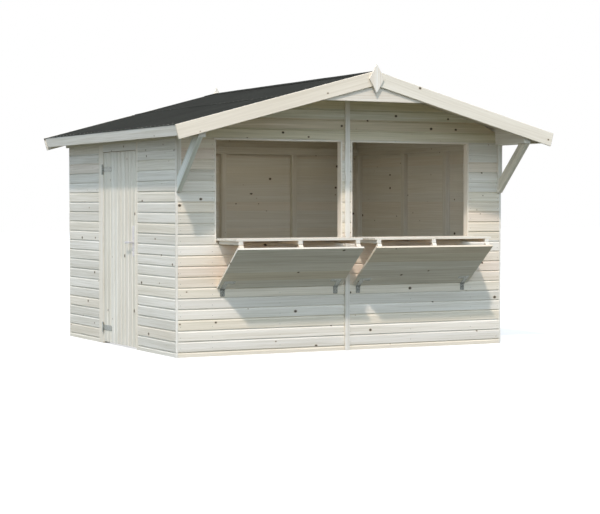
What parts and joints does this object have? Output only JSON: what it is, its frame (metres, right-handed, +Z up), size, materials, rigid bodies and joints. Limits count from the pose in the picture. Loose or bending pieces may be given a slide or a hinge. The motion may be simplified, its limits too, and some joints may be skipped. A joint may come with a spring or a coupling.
{
  "type": "wooden market stall",
  "caption": "Wooden market stall hut with a felted gable roof, braced front overhang, open serving hatches with counters and a hinged side door.",
  "frame": {"origin": "on the ground, under the middle of the roof's plan (verge and finial faces included)", "axes": "+Z up, -Y out of the serving front, +X along the front towards the wall without a door"},
  "size_m": [3.9402, 3.496, 2.6399],
  "materials": {
    "spruce_boards": "untreated planed spruce boards with small dark knots",
    "frame_wood": "planed softwood framing",
    "roofing_felt": "mineral-surfaced bitumen felt, dark grey",
    "zinc_fittings": "galvanised, dull grey"
  },
  "bodies": {
    "stall": {"front_wall_lower": "spruce_boards", "front_pier_left": "spruce_boards", "front_pier_right": "spruce_boards", "front_mullion": "spruce_boards", "front_gable_wall": "spruce_boards", "rear_wall": "spruce_boards", "left_wall_front": "spruce_boards", "left_wall_rear": "spruce_boards", "left_wall_over_door": "spruce_boards", "right_wall": "spruce_boards", "front_corner_trims": "spruce_boards", "rear_corner_trims": "spruce_boards", "bottom_rails": "frame_wood", "top_rails": "frame_wood", "front_wall_posts": "frame_wood", "front_header": "frame_wood", "rear_wall_studs": "frame_wood", "right_wall_studs": "frame_wood", "left_wall_studs": "frame_wood", "left_eaves_beam": "spruce_boards", "right_eaves_beam": "spruce_boards", "ridge_beam": "spruce_boards", "left_roof_boards": "spruce_boards", "right_roof_boards": "spruce_boards", "left_roof_felt": "roofing_felt", "right_roof_felt": "roofing_felt", "left_fascia": "spruce_boards", "right_fascia": "spruce_boards", "front_verge_left": "spruce_boards", "front_verge_right": "spruce_boards", "rear_verge_boards": "spruce_boards", "front_finial": "spruce_boards", "rear_finial": "spruce_boards", "front_gable_board": "spruce_boards", "left_brace": "spruce_boards", "right_brace": "spruce_boards", "brace_cleats": "spruce_boards", "centre_batten": "spruce_boards", "left_opening_lining": "spruce_boards", "right_opening_lining": "spruce_boards", "left_counter": "spruce_boards", "left_flap": "spruce_boards", "left_flap_hinges": "zinc_fittings", "right_counter": "spruce_boards", "right_flap": "spruce_boards", "right_flap_hinges": "zinc_fittings", "door_posts": "spruce_boards", "door_hinge_plates": "zinc_fittings"},
    "door": {"door_leaf": "spruce_boards", "door_ledges": "frame_wood", "door_lock": "zinc_fittings", "door_straps": "zinc_fittings"}
  },
  "joints": [
    {"name": "side_door_hinge", "type": "hinge", "parent": "stall", "child": "door", "pos_m": [-1.745, 0.6215, 0.95], "axis": [0, 0, -1], "range_deg": [0, 100]}
  ]
}
